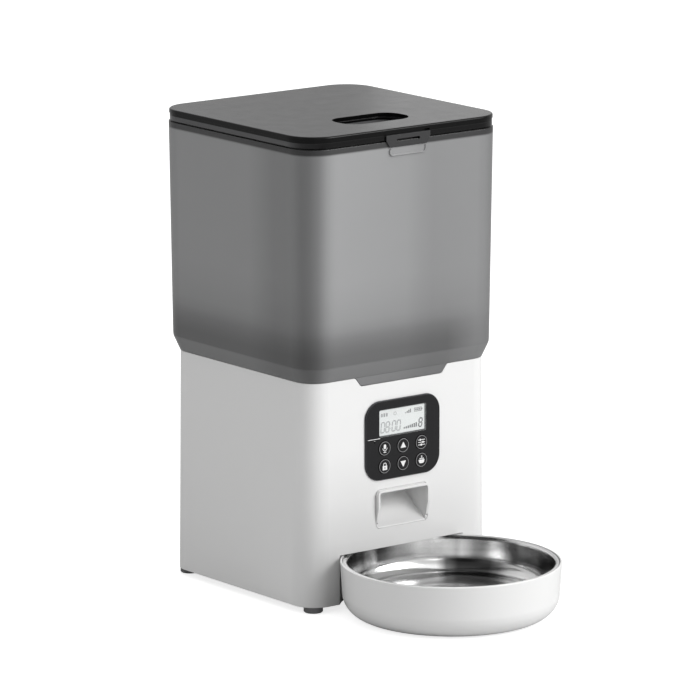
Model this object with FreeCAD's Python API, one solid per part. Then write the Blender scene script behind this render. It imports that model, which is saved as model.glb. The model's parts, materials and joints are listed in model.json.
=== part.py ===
import FreeCAD, Part
import os, math

V = FreeCAD.Vector

# ---------------------------------------------------------------- driving sizes, mm
YC = 67.275          # centre of the casing in Y
YB = -78.425         # centre of the bowl in Y
LID_HW = 93.5        # half width of the lid plate
LID_R = 24.5
Z_TOP = 360.0
Z_PLATE = 356.8      # underside of the lid plate
Z_SKIRT = 351.4      # underside of the lid skirt
Z_HOP = 350.2        # top edge of the hopper
Z_SEAM = 174.5       # top edge of the base
Z_FOOT = 4.6         # feet height
BASE_B, BASE_T = 87.3, 86.0   # base half width at bottom and top
BASE_R = 17.2
WALL = 2.5
DECK_Z0, DECK_Z1 = 155.0, 157.5
DRUM_RI, DRUM_RO = 52.0, 54.5
DRUM_F0, DRUM_F1 = 103.5, 106.0
BAY_R = 83.1         # round bay that takes the bowl tray
BAY_Z = 42.1
TRAY_R = 82.35
TRAY_H = 41.1
PANEL_Z = 124.7
CHUTE_HW = 22.5
MOD = 1.0            # gear module
N_BIG, N_SMALL = 44, 12
CD = MOD * (N_BIG + N_SMALL) / 2.0 + 0.08   # gear centre distance
OUT_P = (0.0, YC)
IDL_P = (0.0, YC + CD)
MOT_A = 20.0
MOT_P = (IDL_P[0] + CD * math.cos(math.radians(MOT_A)), IDL_P[1] + CD * math.sin(math.radians(MOT_A)))
KEY_X = (-17.45, 0.0, 17.45)
KEY_Z = (118.2, 104.6)
KEY_R = 5.5


def base_hw(z):
    return BASE_B + (BASE_T - BASE_B) * (z - Z_FOOT) / (Z_SEAM - Z_FOOT)


def hop_hw(z):
    return 90.66 + (z - 186.2) * 0.01253


# ---------------------------------------------------------------- helpers
def map_xy(z):
    return lambda u, v: V(u, v, z)


def map_xz(y):
    return lambda u, v: V(u, y, v)


def map_yz(x):
    return lambda u, v: V(x, u, v)


def rr_wire(u0, u1, v0, v1, r, f):
    k = r * (1 - math.sqrt(0.5))
    e = [
        Part.LineSegment(f(u0 + r, v0), f(u1 - r, v0)).toShape(),
        Part.Arc(f(u1 - r, v0), f(u1 - k, v0 + k), f(u1, v0 + r)).toShape(),
        Part.LineSegment(f(u1, v0 + r), f(u1, v1 - r)).toShape(),
        Part.Arc(f(u1, v1 - r), f(u1 - k, v1 - k), f(u1 - r, v1)).toShape(),
        Part.LineSegment(f(u1 - r, v1), f(u0 + r, v1)).toShape(),
        Part.Arc(f(u0 + r, v1), f(u0 + k, v1 - k), f(u0, v1 - r)).toShape(),
        Part.LineSegment(f(u0, v1 - r), f(u0, v0 + r)).toShape(),
        Part.Arc(f(u0, v0 + r), f(u0 + k, v0 + k), f(u0 + r, v0)).toShape(),
    ]
    return Part.Wire(e)


def slab(hx, r, z0, z1, cy=YC, hy=None, cx=0.0):
    hy = hx if hy is None else hy
    w = rr_wire(cx - hx, cx + hx, cy - hy, cy + hy, r, map_xy(z0))
    return Part.Face(w).extrude(V(0, 0, z1 - z0))


def plate_xz(x0, x1, z0, z1, r, y0, y1):
    return Part.Face(rr_wire(x0, x1, z0, z1, r, map_xz(y0))).extrude(V(0, y1 - y0, 0))


def loft_sq(secs, cy=YC):
    """Solid through square rounded sections: (z, half width, corner radius)."""
    ws = [rr_wire(-h, h, cy - h, cy + h, r, map_xy(z)) for z, h, r in secs]
    return Part.makeLoft(ws, True, True)


def box(x0, x1, y0, y1, z0, z1):
    return Part.makeBox(x1 - x0, y1 - y0, z1 - z0, V(x0, y0, z0))


def cyl(x, y, z0, z1, r):
    return Part.makeCylinder(r, z1 - z0, V(x, y, z0))


def cyl_y(x, z, y0, y1, r):
    return Part.makeCylinder(r, y1 - y0, V(x, y0, z), V(0, 1, 0))


def cyl_x(y, z, x0, x1, r):
    return Part.makeCylinder(r, x1 - x0, V(x0, y, z), V(1, 0, 0))


def poly_prism_x(pts, x0, x1):
    p = [V(x0, a, b) for a, b in pts]
    return Part.Face(Part.makePolygon(p + [p[0]])).extrude(V(x1 - x0, 0, 0))


def poly_prism_y(pts, y0, y1):
    p = [V(a, y0, b) for a, b in pts]
    return Part.Face(Part.makePolygon(p + [p[0]])).extrude(V(0, y1 - y0, 0))


def round_poly(pts):
    """Closed outline from (u, v, corner radius) points as lines and tangent arcs, in the XZ plane at y = 0."""
    n, segs, ends = len(pts), [], []
    for i in range(n):
        p, r = V(pts[i][0], 0, pts[i][1]), pts[i][2]
        a = V(pts[i - 1][0], 0, pts[i - 1][1]).sub(p)
        b = V(pts[(i + 1) % n][0], 0, pts[(i + 1) % n][1]).sub(p)
        a.normalize()
        b.normalize()
        if r <= 0:
            ends.append((p, None, p))
            continue
        half = a.getAngle(b) / 2.0
        d = r / math.tan(half)
        bis = a.add(b)
        bis.normalize()
        mid = p.add(bis.multiply(r / math.sin(half) - r))
        ends.append((p.add(a * d), mid, p.add(b * d)))
    for i in range(n):
        s0, m, s1 = ends[i]
        if m is not None:
            segs.append(Part.Arc(s0, m, s1).toShape())
        nx = ends[(i + 1) % n][0]
        if s1.sub(nx).Length > 1e-6:
            segs.append(Part.LineSegment(s1, nx).toShape())
    return Part.Wire(segs)


def round_prism_y(pts, y0, y1):
    return Part.Face(round_poly(pts)).extrude(V(0, y1 - y0, 0)).translated(V(0, y0, 0))


def fuse(*s):
    a = s[0]
    if len(s) > 1:
        a = a.fuse(list(s[1:]))
    return a.removeSplitter()


def revolve(edges, x, y):
    """Full turn of a closed profile in the XZ plane about the vertical line at x, y."""
    f = Part.Face(Part.Wire(Part.__sortEdges__(edges)))
    return f.revolve(V(x, y, 0), V(0, 0, 1), 360)


def gear(n, cx, cy, z0, z1, phase_deg, add, ded=1.3, thin=0.16):
    """Spur gear with involute flanks; a tooth points along phase_deg."""
    r = MOD * n / 2.0
    a = math.radians(20.0)
    rb = r * math.cos(a)
    ro, rr = r + add * MOD, r - ded * MOD
    half = (math.pi * MOD / 2.0 - thin) / (2.0 * r)
    inv = lambda t: math.tan(t) - t
    def ang(rad):
        if rad <= rb:
            return half + inv(a)
        return half + inv(a) - inv(math.acos(rb / rad))
    radii = [rr] + [max(rb, rr + 0.01) + (ro - max(rb, rr + 0.01)) * i / 4.0 for i in range(5)]
    pts = []
    for k in range(n):
        c = math.radians(phase_deg) + 2 * math.pi * k / n
        for q in radii:
            t = c - ang(q)
            pts.append(V(cx + q * math.cos(t), cy + q * math.sin(t), z0))
        for q in reversed(radii):
            t = c + ang(q)
            pts.append(V(cx + q * math.cos(t), cy + q * math.sin(t), z0))
    return Part.Face(Part.makePolygon(pts + [pts[0]])).extrude(V(0, 0, z1 - z0))


NODES = {}


def put(name, shape):
    NODES[name] = shape


# ---------------------------------------------------------------- base casing
outer = loft_sq([(Z_FOOT, BASE_B, BASE_R + 0.6), (Z_SEAM, BASE_T, BASE_R)])
inner = loft_sq([(Z_FOOT - 1, base_hw(Z_FOOT - 1) - WALL, BASE_R - 2.0), (Z_SEAM + 1, base_hw(Z_SEAM + 1) - WALL, BASE_R - 2.5)])
shell = outer.cut(inner)
bay = cyl(0, YB, Z_FOOT, BAY_Z + WALL, BAY_R + WALL).common(outer)
ledge = slab(84.0, 14.5, 152.0, DECK_Z0).cut(slab(79.5, 10.0, 151, DECK_Z0 + 1))
ledge = ledge.common(outer)
bits = [bay, ledge]
# screw posts for the base plate, tied to the side walls
for sx in (-1, 1):
    for py in (32.0, 118.0):
        bits.append(cyl(sx * 77.0, py, 7.1, 46.0, 4.0))
        bits.append(box(min(sx * 77.0, sx * 85.6), max(sx * 77.0, sx * 85.6), py - 1.2, py + 1.2, 7.1, 46.0))
# posts for the main board on the left wall
BOARD_Y, BOARD_Z = (44.0, 106.0), (66.0, 124.0)
for by in BOARD_Y:
    for bz in BOARD_Z:
        bits.append(cyl_x(by, bz, -85.4, -78.0, 3.0))
# ring behind the grille that holds the speaker
SPK_Z = 118.0
bits.append(cyl_y(0, SPK_Z, 147.0, 152.5, 23.0).cut(cyl_y(0, SPK_Z, 146.0, 151.0, 20.6)))
base_shell = fuse(shell, *bits)
base_shell = base_shell.cut(cyl(0, YB, -1, BAY_Z, BAY_R))
cuts = [
    plate_xz(-32.9, 32.9, 96.1, 153.3, 12.0, -24, -12),                       # control panel
    plate_xz(-24.8, 24.8, 56.9, 86.9, 4.0, -24, -12),                         # outlet
    box(-15.8, 15.8, 0, 12, 7.4, 12.6),                                       # slot for the tray hook
    plate_xz(55.2, 68.8, 16.9, 23.9, 2.4, 153.2, 156),                        # power socket recess
    plate_xz(57.3, 66.7, 18.6, 22.2, 1.7, 149, 156),
]
# notch for the hopper tab
cuts.append(round_prism_y([(-46.0, Z_SEAM + 2, 0), (-46.0, Z_SEAM + 0.04, 0), (-43.7, Z_SEAM + 0.04, 2.4), (-38.3, 167.7, 2.8), (38.3, 167.7, 2.8), (43.7, Z_SEAM + 0.04, 2.4), (46.0, Z_SEAM + 0.04, 0), (46.0, Z_SEAM + 2, 0)], -22, -13.0))
# speaker grille: centre hole and three rings
holes = [cyl_y(0, SPK_Z, 146, 158, 1.1)]
for rad, n in ((4.6, 6), (9.2, 12), (13.8, 18)):
    for k in range(n):
        t = 2 * math.pi * k / n
        holes.append(cyl_y(rad * math.cos(t), SPK_Z + rad * math.sin(t), 146, 158, 1.1))
base_shell = base_shell.cut(cuts + holes)
# screw holes
scr = []
for sx in (-1, 1):
    for py in (32.0, 118.0):
        scr.append(cyl(sx * 77.0, py, 6, 22.0, 1.5))
for by in BOARD_Y:
    for bz in BOARD_Z:
        scr.append(cyl_x(by, bz, -83.0, -77.0, 1.2))
base_shell = base_shell.cut(scr)
put("base_shell", base_shell)

# ---------------------------------------------------------------- base plate, feet, screws
FX, FY = 76.3, 77.3
BAT_Y0, BAT_Y1 = 80.0, 149.0
plate = slab(84.3, 14.6, Z_FOOT, 7.1).cut(cyl(0, YB, 0, 10, BAY_R + WALL + 0.4))
plate = plate.cut([box(-52.3, 52.3, BAT_Y0 + 1.5, BAT_Y1 - 1.5, 0, 10), box(-52.3, 52.3, 69.0, BAT_Y0 + 2, 0, 6.4),
                   box(-53.9, 53.9, 69.0, BAT_Y1 - 1.5, 5.2, 6.4)])
posts = [cyl(58.0, 131.0, 7.1, 15.2, 2.4), cyl(72.0, 131.0, 7.1, 15.2, 2.4)]
plate = fuse(plate, *posts)
pc = []
for sx in (-1, 1):
    for sy in (-1, 1):
        pc.append(cyl(sx * FX, YC + sy * FY, 0, 10, 2.6))
    for py in (32.0, 118.0):
        pc.append(cyl(sx * 77.0, py, 0, 10, 1.7))
        pc.append(cyl(sx * 77.0, py, 0, 5.9, 3.2))
plate = plate.cut(pc)
put("base_plate", plate)
for n, sx, sy in (("foot_front_left", -1, -1), ("foot_front_right", 1, -1), ("foot_rear_left", -1, 1), ("foot_rear_right", 1, 1)):
    x, y = sx * FX, YC + sy * FY
    f = cyl(x, y, 0, Z_FOOT, 7.25)
    f = f.makeChamfer(0.7, [e for e in f.Edges if abs(e.BoundBox.ZMax) < 1e-6])
    f = fuse(f, cyl(x, y, Z_FOOT, 7.1, 2.6), Part.makeCone(3.6, 2.2, 2.2, V(x, y, 7.1)))
    put(n, f)
s = []
for sx in (-1, 1):
    for py in (32.0, 118.0):
        a = cyl(sx * 77.0, py, 4.7, 5.9, 3.0).cut(cyl(sx * 77.0, py, 4.0, 5.4, 1.3))
        s.append(fuse(a, cyl(sx * 77.0, py, 5.9, 20.0, 1.5)))
put("base_screws", Part.makeCompound(s))

# ---------------------------------------------------------------- battery bay
bt = slab(53.8, 3.0, 7.1, 44.5, cy=(BAT_Y0 + BAT_Y1) / 2, hy=(BAT_Y1 - BAT_Y0) / 2)
bt = bt.cut(slab(52.3, 1.6, 7.0, 43.0, cy=(BAT_Y0 + BAT_Y1) / 2, hy=(BAT_Y1 - BAT_Y0) / 2 - 1.5))
put("battery_tray", bt)
cells, contacts = [], []
for k, cx in enumerate((-34.8, 0.0, 34.8)):
    c = cyl_y(cx, 25.4, 84.2, 144.0, 16.6)
    c = fuse(c, cyl_y(cx, 25.4, 144.0, 145.4, 4.6))
    cells.append(c)
    contacts.append(box(cx - 7, cx + 7, 81.5, 82.0, 17, 34))
    contacts.append(Part.makeCone(6.5, 4.5, 2.0, V(cx, 82.0, 25.4), V(0, 1, 0)).cut(Part.makeCone(5.3, 3.3, 2.2, V(cx, 82.0, 25.4), V(0, 1, 0))))
    contacts.append(box(cx - 7, cx + 7, 146.2, 147.4, 17, 34))
put("batteries", Part.makeCompound(cells))
put("battery_contacts", Part.makeCompound(contacts))
door = box(-51.8, 51.8, 82.0, 147.0, Z_FOOT, 6.1)
door = fuse(door, box(-53.5, 53.5, 82.0, 147.0, 5.45, 6.1))
grip = [box(-9, 9, 84.0 + 2.4 * i, 85.1 + 2.4 * i, 4.0, 5.2) for i in range(4)]
put("battery_door", door.cut(grip))

# ---------------------------------------------------------------- metering drum and deck
drum = fuse(
    slab(83.1, 14.2, DECK_Z0, DECK_Z1),
    cyl(0, YC, DRUM_F0, DECK_Z1, DRUM_RO),
    slab(31.5, 8.0, DRUM_F0, DRUM_F1, cx=5.0, cy=94.4, hy=27.1),
)
drum = drum.cut([cyl(0, YC, DRUM_F1, DECK_Z1 + 1, DRUM_RI), cyl(0, YC, DRUM_F0 - 1, DRUM_F1 + 1, 5.0)])
out_hole = box(-CHUTE_HW, CHUTE_HW, 17.0, 43.0, DRUM_F0 - 1, DRUM_F1 + 1).common(cyl(0, YC, DRUM_F0 - 1, DRUM_F1 + 1, DRUM_RI))
drum = drum.cut(out_hole)
GB_SCREWS = ((-22.2, 48.6), (32.2, 48.6), (-22.2, 116.0), (32.2, 87.6))
drum = fuse(drum, *[cyl(x, y, 97.0, DRUM_F0, 3.2) for x, y in GB_SCREWS])
drum = drum.cut([cyl(x, y, 96.0, DRUM_F1 - 0.8, 1.3) for x, y in GB_SCREWS])
put("dispenser_drum", drum)
baf = cyl(0, YC, 152.0, 153.8, DRUM_RI).cut(cyl(0, YC, 151.0, 155.0, 14.0))
baf = baf.common(poly_prism_y([(-60, 150), (60, 150), (60, 155), (-60, 155)], YC - 60, YC - 8))
wedge = Part.Face(Part.makePolygon([V(0, YC, 151), V(-60, YC - 62, 151), V(60, YC - 62, 151), V(0, YC, 151)])).extrude(V(0, 0, 5))
put("outlet_baffle", baf.common(wedge))
put("drum_bush", fuse(cyl(0, YC, 101.5, 107.0, 5.0), cyl(0, YC, 106.0, 107.0, 7.0), cyl(0, YC, 101.5, 103.5, 6.5)).cut(cyl(0, YC, 100, 108, 3.05)))

# ---------------------------------------------------------------- rotor
hub = fuse(cyl(0, YC, 107.4, 154.0, 10.0), Part.makeSphere(13.0, V(0, YC, 148.5)).common(cyl(0, YC, 154.0, 163.0, 10.0)))
hub = hub.cut(cyl(0, YC, 107, 148.0, 3.0))
put("paddle_hub", hub)
blades = []
for k in range(6):
    t = 60.0 * k + 30.0
    b = box(8.0, 50.4, -0.9, 0.9, 107.4, 150.0)
    b.rotate(V(0, 0, 0), V(0, 0, 1), t)
    b.translate(V(0, YC, 0))
    blades.append(b.cut(cyl(0, YC, 100, 170, 10.0)))
put("paddle_blades", Part.makeCompound(blades))
put("spindle", cyl(0, YC, 72.8, 148.0, 3.0))
ZA0, ZA1 = 85.6, 93.4     # upper gear pair
ZB0, ZB1 = 76.4, 84.0     # lower gear pair
og = gear(N_BIG, OUT_P[0], OUT_P[1], ZA0, ZA1, 90.0, 0.82)
og = og.cut(cyl(0, YC, 70, 100, 3.0))
og = og.cut([cyl(13.0 * math.cos(t), YC + 13.0 * math.sin(t), 80, 100, 3.6) for t in [math.radians(60 * k) for k in range(6)]])
put("output_gear", og)

# ---------------------------------------------------------------- gearbox
GX0, GX1, GY0, GY1 = -26.6, 36.6, 41.3, 121.5
gcx, ghx, gcy, ghy = (GX0 + GX1) / 2, (GX1 - GX0) / 2, (GY0 + GY1) / 2, (GY1 - GY0) / 2
gl = slab(ghx, 8.0, 72.5, 94.4, cx=gcx, cy=gcy, hy=ghy).cut(slab(ghx - 1.8, 6.2, 75.0, 95.0, cx=gcx, cy=gcy, hy=ghy - 1.8))
gl = fuse(gl, *[cyl(x, y, 75.0, 94.4, 3.2) for x, y in GB_SCREWS])
gl = gl.cut([cyl(x, y, 72, 95, 1.6) for x, y in GB_SCREWS] + [cyl(0, YC, 72, 76, 3.05), cyl(IDL_P[0], IDL_P[1], 72, 76, 1.5), cyl(MOT_P[0], MOT_P[1], 72, 76, 2.4)])
put("gearbox_lower", gl)
gc = slab(ghx, 8.0, 94.5, 97.0, cx=gcx, cy=gcy, hy=ghy)
gc = gc.cut([cyl(x, y, 94, 98, 1.6) for x, y in GB_SCREWS] + [cyl(0, YC, 94, 98, 3.3), cyl(IDL_P[0], IDL_P[1], 94, 98, 1.5)])
put("gearbox_cover", gc)
put("gearbox_screws", Part.makeCompound([fuse(cyl(x, y, 70.9, 72.5, 2.8), cyl(x, y, 72.5, 104.0, 1.3)).cut(cyl(x, y, 70.5, 71.7, 1.1)) for x, y in GB_SCREWS]))
put("idler_pin", cyl(IDL_P[0], IDL_P[1], 72.5, 97.0, 1.5))
ig = fuse(gear(N_SMALL, IDL_P[0], IDL_P[1], ZB1, ZA1, 270.0 + 180.0 / N_SMALL, 0.9), gear(N_BIG, IDL_P[0], IDL_P[1], ZB0, ZB1, MOT_A, 0.82))
ig = ig.cut(cyl(IDL_P[0], IDL_P[1], 70, 100, 1.56))
ig = ig.cut([cyl(IDL_P[0] + 13.0 * math.cos(t), IDL_P[1] + 13.0 * math.sin(t), 70, ZB1, 3.6) for t in [math.radians(60 * k) for k in range(6)]])
put("idler_gear", ig)
mp = fuse(gear(N_SMALL, MOT_P[0], MOT_P[1], ZB0, ZB1, MOT_A + 180.0 + 180.0 / N_SMALL, 0.9), cyl(MOT_P[0], MOT_P[1], 60.0, 86.0, 1.5))
put("motor_pinion", mp)
mo = fuse(cyl(MOT_P[0], MOT_P[1], 48.5, 72.5, 14.0), cyl(MOT_P[0], MOT_P[1], 46.8, 48.5, 5.0))
mo = mo.cut(cyl(MOT_P[0], MOT_P[1], 59.7, 73, 1.56))
mo = fuse(mo, box(MOT_P[0] - 5.5, MOT_P[0] - 3.9, MOT_P[1] - 0.4, MOT_P[1] + 0.4, 45.4, 48.6), box(MOT_P[0] + 3.9, MOT_P[0] + 5.5, MOT_P[1] - 0.4, MOT_P[1] + 0.4, 45.4, 48.6))
put("motor", mo)

# ---------------------------------------------------------------- chute and rim
ramp_in = [(43.0, DRUM_F0), (-22.0, 56.1), (-26.0, 56.1), (-26.0, 84.7), (-14.0, 84.7), (17.0, 99.5), (17.0, DRUM_F0)]
ramp_out = [(45.0, DRUM_F0), (45.0, 101.6), (-16.6, 57.0), (-19.5, 57.0), (-19.5, 86.7), (-14.4, 86.7), (15.0, 100.8), (15.0, DRUM_F0)]
ch = poly_prism_x(ramp_out, -24.5, 24.5)
ch = ch.cut(poly_prism_x([(a, b + (0.3 if b >= DRUM_F0 else 0)) for a, b in ramp_in], -CHUTE_HW, CHUTE_HW))
# rounded front corners, so that it enters the opening in the casing
ch = ch.cut(box(-26, 26, -22, -12.5, 56.0, 87.5).cut(plate_xz(-24.5, 24.5, 57.0, 86.7, 4.0, -23, -12)))
put("chute", ch)
rim_o = plate_xz(-24.5, 24.5, 57.4, 86.4, 3.4, -22.6, -19.5)
rim_i = plate_xz(-22.7, 22.7, 58.6, 84.7, 1.8, -23.0, -19.0)
rim = rim_o.cut(rim_i)
# the frame is deepest at the top and dies away at the lower edge
rim = rim.cut(poly_prism_x([(-23.0, 50.0), (-23.0, 74.0), (-19.4, 60.5), (-19.4, 50.0)], -30, 30))
put("chute_rim", rim)

# ---------------------------------------------------------------- control panel
cp = plate_xz(-35.2, 35.6, 94.0, 154.6, 13.6, -20.7, -19.4)
cp = cp.makeChamfer(0.6, [e for e in cp.Edges if abs(e.BoundBox.YMax + 20.7) < 1e-4 and abs(e.BoundBox.YMin + 20.7) < 1e-4])
cp = fuse(cp, plate_xz(-32.5, 32.5, 96.5, 152.9, 11.6, -19.4, -16.8), *[cyl_y(x, z, -16.8, -13.3, 2.5) for x in (-28.5, 28.5) for z in (104.0, 145.5)])
cp = cp.cut([plate_xz(-22.3, 22.3, 126.8, 147.9, 1.2, -21.0, -19.6), plate_xz(-21.5, 21.5, 127.6, 147.1, 0.8, -21.0, -16.0)])
cp = cp.cut([cyl_y(x, z, -22, -16, KEY_R + 0.3) for x in KEY_X for z in KEY_Z])
cp = cp.cut([cyl_y(x, z, -18.5, -13.0, 0.85) for x in (-28.5, 28.5) for z in (104.0, 145.5)] + [cyl_y(-26.7, 123.6, -21, -16, 0.6)])
put("control_panel", cp)
put("display_window", plate_xz(-22.2, 22.2, 126.9, 147.8, 1.1, -20.6, -19.6))
put("lcd_display", fuse(plate_xz(-21.4, 21.4, 127.7, 147.0, 0.7, -19.5, -16.7), box(-23.8, 23.8, -16.7, -13.3, 126.0, 149.5)))
put("keypad_mat", fuse(box(-23.9, 23.9, -14.2, -13.3, 97.8, 124.8), *[cyl_y(x, z, -14.35, -14.2, 4.0) for x in KEY_X for z in KEY_Z]))
put("microphone", cyl_y(-26.7, 123.6, -16.8, -13.3, 2.5).cut(cyl_y(-26.7, 123.6, -17.0, -16.3, 0.8)))
pb = plate_xz(-31.0, 31.0, 98.2, 151.2, 8.0, -13.3, -11.7)
pb = fuse(pb, box(-6, 8, -11.7, -10.2, 106, 120), box(-24, -12, -11.7, -10.5, 132, 140), box(12, 26, -11.7, -8.2, 134, 139))
pb = pb.cut([cyl_y(x, z, -14, -11, 1.1) for x in (-28.5, 28.5) for z in (104.0, 145.5)])
put("panel_board", pb)
put("panel_screws", Part.makeCompound([fuse(cyl_y(x, z, -11.7, -10.4, 2.0), cyl_y(x, z, -17.6, -11.7, 0.85)).cut(cyl_y(x, z, -10.9, -10.0, 0.8)) for x in (-28.5, 28.5) for z in (104.0, 145.5)]))
names = (("button_record", 0, 0), ("button_up", 1, 0), ("button_set", 2, 0), ("button_lock", 0, 1), ("button_down", 1, 1), ("button_feed", 2, 1))
for n, i, j in names:
    x, z = KEY_X[i], KEY_Z[j]
    b = cyl_y(x, z, -21.2, -16.5, KEY_R)
    b = b.makeFillet(0.35, [e for e in b.Edges if abs(e.BoundBox.YMax + 21.2) < 1e-4])
    put(n, fuse(b, cyl_y(x, z, -16.5, -15.3, 6.4)))
# flat cable from the panel board back to the main board, in straight runs
cable = []
cable.append(box(-28.0, -16.0, -11.7, -10.9, 123.0, 131.0))
cable.append(box(-28.0, -27.2, -10.9, 6.0, 123.0, 131.0))
cable.append(box(-74.0, -27.2, 6.0, 6.8, 123.0, 131.0))
cable.append(box(-74.8, -74.0, 6.0, 52.0, 123.0, 131.0))
put("panel_cable", fuse(*cable))

# ---------------------------------------------------------------- main board, speaker, power inlet
mb = Part.Face(rr_wire(38.0, 112.0, 60.0, 132.5, 2.0, map_yz(-78.0))).extrude(V(1.6, 0, 0))
mb = fuse(mb, box(-76.4, -73.6, 60, 74, 88, 102), box(-76.4, -71.0, 84, 96, 108, 122), box(-76.4, -66.0, 46, 58, 70, 80), cyl_x(100.0, 74.0, -76.4, -63.0, 5.0), box(-76.4, -74.8, 48.0, 58.0, 121.8, 132.2))
mb = mb.cut([cyl_x(by, bz, -79.0, -76.0, 1.3) for by in BOARD_Y for bz in BOARD_Z])
mb = mb.cut(box(-74.85, -73.9, 5, 52.05, 122.9, 131.1))
put("main_board", mb)
put("main_board_screws", Part.makeCompound([fuse(cyl_x(by, bz, -76.4, -74.9, 2.3), cyl_x(by, bz, -82.0, -76.4, 1.2)).cut(cyl_x(by, bz, -75.5, -74.0, 0.9)) for by in BOARD_Y for bz in BOARD_Z]))
# speaker: steel basket and magnet, built on the Y axis
L = lambda a, b: Part.LineSegment(V(a[0], a[1], 0), V(b[0], b[1], 0)).toShape()
def turn_y(pts, x, z):
    """Revolve a closed (radius, y) outline about the line x, z along Y."""
    e = [Part.LineSegment(V(pts[i][0] + x, pts[i][1], z), V(pts[(i + 1) % len(pts)][0] + x, pts[(i + 1) % len(pts)][1], z)).toShape() for i in range(len(pts))]
    return Part.Face(Part.Wire(e)).revolve(V(x, 0, z), V(0, 1, 0), 360)
put("speaker", turn_y([(0, 133.0), (11.5, 133.0), (11.5, 141.0), (12.5, 141.0), (19.0, 148.0), (20.4, 148.0), (20.4, 150.9), (17.8, 150.9), (17.8, 148.6), (11.8, 142.4), (0, 142.4)], 0, SPK_Z))
put("speaker_cone", turn_y([(0, 144.8), (5.0, 143.6), (11.4, 142.9), (17.6, 149.0), (17.6, 149.6), (11.0, 143.9), (5.2, 144.8), (0, 146.0)], 0, SPK_Z))
put("power_board", box(54.6, 75.0, 126.0, 150.6, 15.2, 16.8).fuse(box(60, 68, 130, 138, 16.8, 19.0)).removeSplitter())
us = plate_xz(57.5, 66.5, 18.8, 22.0, 1.55, 145.0, 153.0)
us = us.cut(plate_xz(57.8, 66.2, 19.1, 21.7, 1.25, 147.0, 154.0))
us = fuse(us, box(58.9, 65.1, 146.5, 151.8, 20.05, 20.75), box(59.0, 65.0, 145.2, 151.0, 16.8, 18.9))
put("usb_socket", us)

# ---------------------------------------------------------------- hopper and funnel
Z_H0 = 158.0
h_out = loft_sq([(Z_SEAM + 0.4, 86.3, 17.2), (184.6, 90.0, 19.0), (186.2, 90.5, 19.3), (188.4, hop_hw(188.4), 19.5), (Z_HOP, hop_hw(Z_HOP), 21.0)])
h_in = loft_sq([(177.4, 84.9, 15.8), (185.2, 88.0, 17.3), (189.0, hop_hw(189.0) - 2.0, 17.6), (Z_HOP + 1, hop_hw(Z_HOP + 1) - 2.0, 19.0)])
spig = slab(83.1, 14.4, Z_H0, Z_SEAM + 1.0)
hs = fuse(h_out, spig)
tab = round_prism_y([(-45.6, Z_SEAM + 1.6, 0), (-45.6, Z_SEAM + 0.4, 0), (-43.5, Z_SEAM + 0.4, 2.4), (-38.1, 168.1, 2.8), (38.1, 168.1, 2.8), (43.5, Z_SEAM + 0.4, 2.4), (45.6, Z_SEAM + 0.4, 0), (45.6, Z_SEAM + 1.6, 0)], -18.75, -15.0)
hs = fuse(hs, tab)
hs = hs.cut([h_in, slab(81.1, 12.4, Z_H0 - 1, 178.0)])
lip = plate_xz(-17.2, 17.2, 339.3, 345.8, 3.2, YC - hop_hw(342) - 1.1, YC - hop_hw(342) + 1.0)
lip = lip.cut(plate_xz(-16.2, 16.2, 340.3, 349.0, 2.3, YC - hop_hw(342) - 3.0, YC - hop_hw(342) - 0.35))
hs = fuse(hs, lip.common(box(-30, 30, -40, YC, 300, 345.8)))
put("hopper_shell", hs)
Z_FT = 222.0
fh = hop_hw(Z_FT) - 2.12
def sq_circ(hw, r, z):
    return rr_wire(-hw, hw, YC - hw, YC + hw, r, map_xy(z))
f_out = Part.makeLoft([sq_circ(52.0, 51.98, 166.0), sq_circ(fh, 18.1, Z_FT)], True, True)
f_in = Part.makeLoft([sq_circ(50.0, 49.98, 165.9), sq_circ(fh - 2.0, 16.1, Z_FT + 0.05)], True, True)
fn = f_out.fuse(cyl(0, YC, Z_H0, 166.0, 52.0)).cut([f_in, cyl(0, YC, Z_H0 - 1, 166.2, 50.0)])
put("hopper_funnel", fn.removeSplitter())

# ---------------------------------------------------------------- lid
RY0, RY1 = 2.5, 35.3     # finger recess in Y
lid = slab(LID_HW, LID_R, Z_PLATE, Z_TOP)
lid = lid.makeFillet(1.3, [e for e in lid.Edges if abs(e.BoundBox.ZMin - Z_TOP) < 1e-4])
skirt = slab(92.6, 22.6, Z_SKIRT, Z_PLATE + 0.2).cut(slab(87.6, 17.6, Z_SKIRT - 1, Z_PLATE))
plug = slab(89.6, 18.6, 342.0, Z_PLATE).cut(slab(87.6, 16.6, 341.0, Z_PLATE))
ry, rh = (RY0 + RY1) / 2, (RY1 - RY0) / 2
cup = slab(28.6, 15.1, 346.0, Z_PLATE + 0.2, cy=ry, hy=rh + 0.8)
flange = slab(33.0, 16.5, 355.2, Z_PLATE + 0.2, cy=ry, hy=rh + 2.5)
lid = fuse(lid, skirt, plug, cup, flange)
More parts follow.
